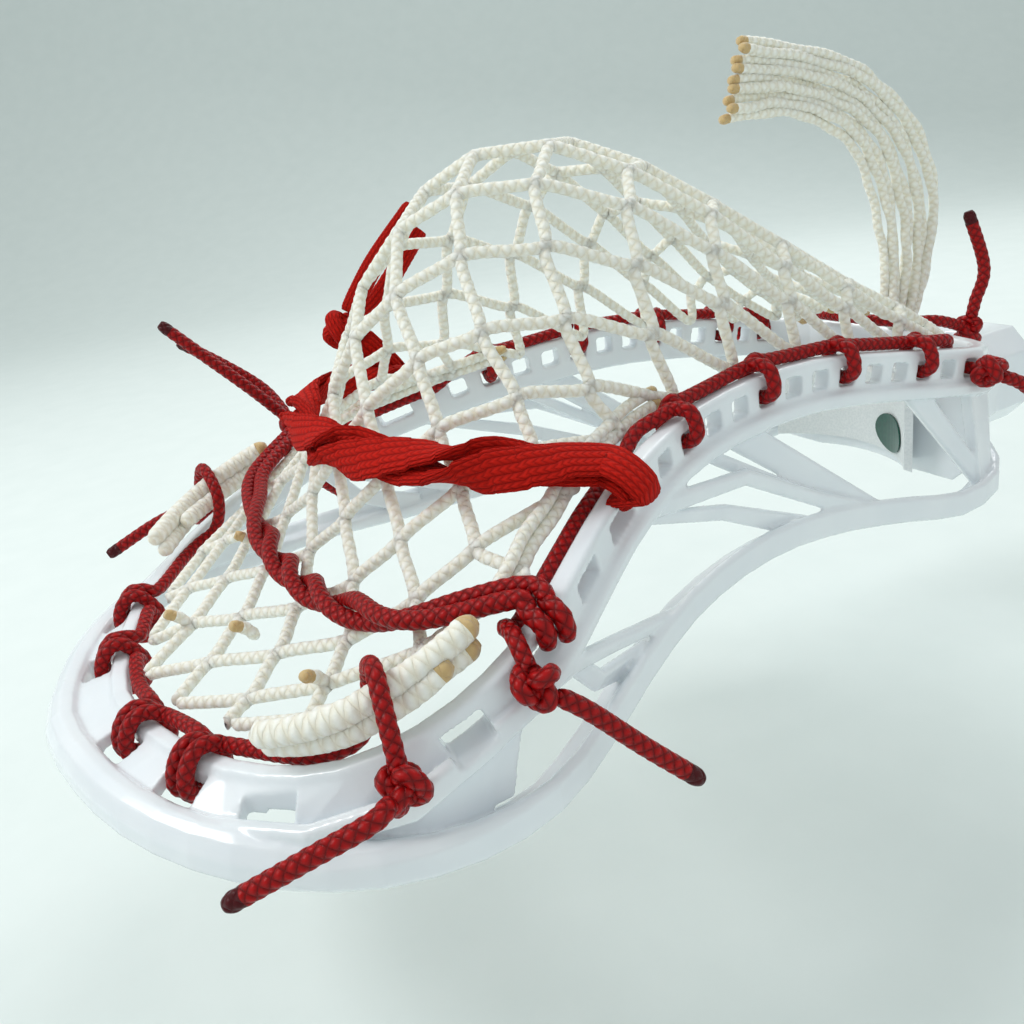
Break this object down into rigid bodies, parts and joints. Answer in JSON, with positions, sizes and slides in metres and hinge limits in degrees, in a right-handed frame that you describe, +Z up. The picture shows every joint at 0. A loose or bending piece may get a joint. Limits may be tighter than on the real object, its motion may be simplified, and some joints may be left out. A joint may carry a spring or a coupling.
{
  "type": "lacrosse stick head",
  "caption": "Strung lacrosse stick head: open nylon frame with a deep diamond mesh pocket, red lacing and an octagonal shaft socket.",
  "frame": {"origin": "under the middle of the head's outline, on the plane its open face rests on, measured without the loose cord ends", "axes": "+Y from the scoop to the shaft socket, +Z up from the open face to the bag of the pocket, X across the head"},
  "size_m": [0.2056, 0.312, 0.134],
  "materials": {
    "nylon_frame": "gloss",
    "foam": "matte",
    "label": "satin",
    "mesh_cord": "matte",
    "red_cord": "satin",
    "red_lace": "matte"
  },
  "bodies": {
    "head": {"head_frame": "nylon_frame", "ball_stop_pad": "foam", "ball_stop_label": "label", "mesh_pocket": "mesh_cord", "mesh_fold_right": "mesh_cord", "mesh_fold_left": "mesh_cord", "top_string": "red_cord", "top_string_knot_right": "red_cord", "top_string_knot_left": "red_cord", "sidewall_string_right": "red_cord", "sidewall_string_left": "red_cord", "sidewall_top_knot_right": "red_cord", "sidewall_top_knot_left": "red_cord", "sidewall_end_knot_right": "red_cord", "sidewall_end_knot_left": "red_cord", "nylon_shooter_front": "red_cord", "nylon_shooter_back": "red_cord", "nylon_shooter_knot": "red_cord", "lace_shooter": "red_lace", "lace_knot": "red_lace", "bottom_string": "red_cord", "bottom_string_knot": "red_cord", "top_tail_right": "red_cord", "top_tail_left": "red_cord", "sidewall_tail_right": "red_cord", "sidewall_tail_left": "red_cord", "throat_tail_right": "red_cord", "throat_tail_left": "red_cord", "nylon_tail_front": "red_cord", "nylon_tail_back": "red_cord", "bottom_tail": "red_cord", "lace_tail_front": "red_lace", "lace_tail_back": "red_lace"},
    "tail": {"mesh_tail": "mesh_cord"}
  },
  "joints": [
    {"name": "tail_bend", "type": "hinge", "parent": "head", "child": "tail", "pos_m": [0, 0.114, 0.046], "axis": [-1, 0, 0], "range_deg": [-8, 28], "stiffness_Nm_per_rad": 0.3}
  ]
}
